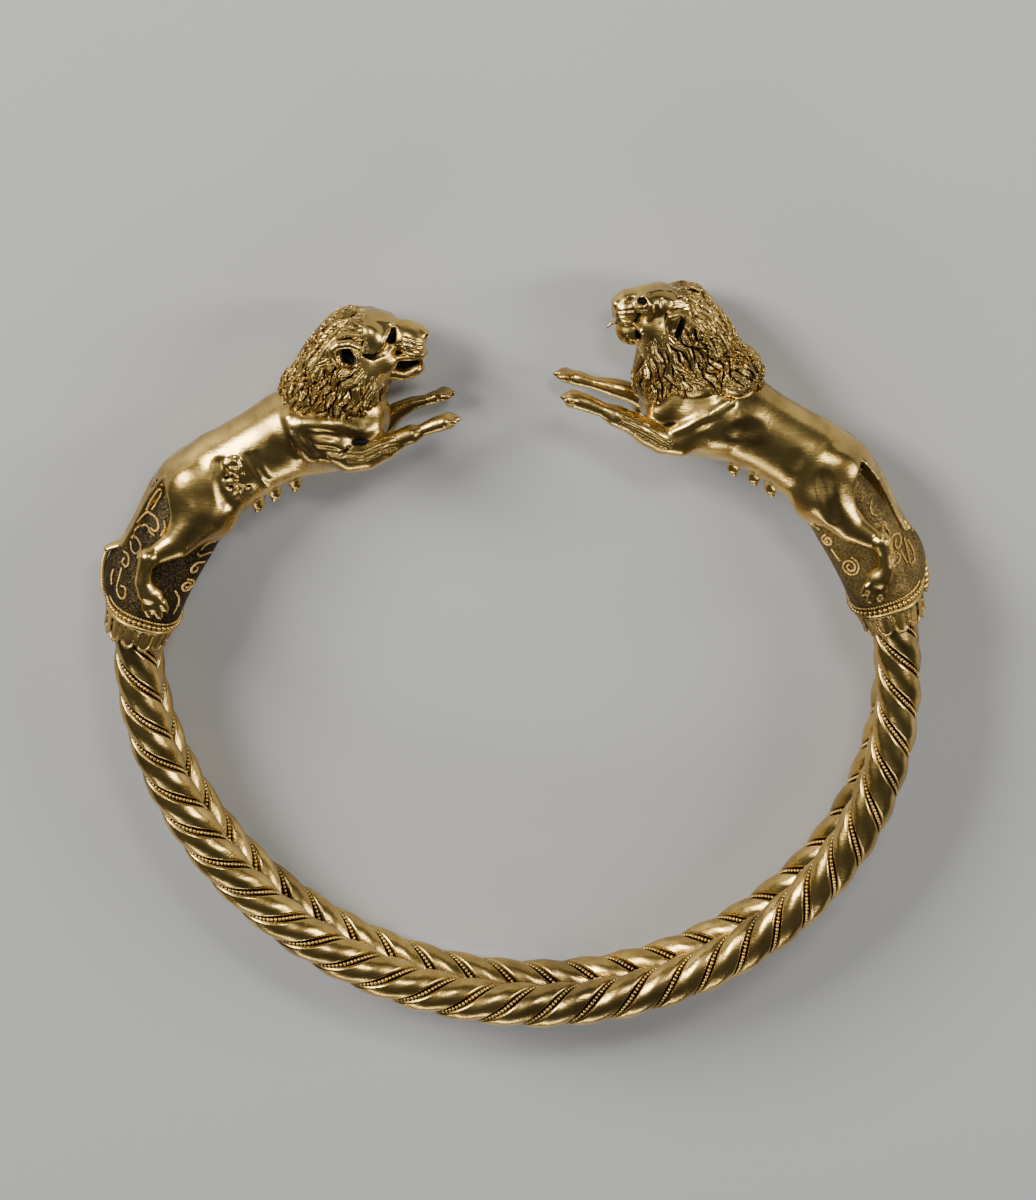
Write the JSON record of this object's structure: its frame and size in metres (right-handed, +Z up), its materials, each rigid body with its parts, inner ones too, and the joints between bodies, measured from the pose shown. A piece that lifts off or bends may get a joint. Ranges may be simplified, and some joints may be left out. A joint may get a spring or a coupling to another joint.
{
  "type": "gold bracelet with lioness finials",
  "caption": "Ancient open gold bracelet: twisted tubes laid side by side, ending in leaf-collared cuffs from which springing maned lionesses face each other.",
  "frame": {"origin": "under the middle of the bracelet, on the surface it lies on", "axes": "+Z up through the bracelet's thickness, +Y from the closed side of the hoop towards the lionesses, +X towards the right-hand lioness"},
  "size_m": [0.0888, 0.0876, 0.0124],
  "materials": {
    "hoop_gold": "satin gold with dark grooves and fine wear",
    "cuff_gold": "satin gold, dark in the ground between filigree wires",
    "lioness_gold": "burnished gold, dark between the locks of the mane"
  },
  "bodies": {
    "root": {"front_twisted_tube": "hoop_gold", "back_twisted_tube": "hoop_gold", "left_cuff": "cuff_gold", "right_cuff": "cuff_gold", "left_lioness": "lioness_gold", "right_lioness": "lioness_gold"}
  },
  "joints": []
}
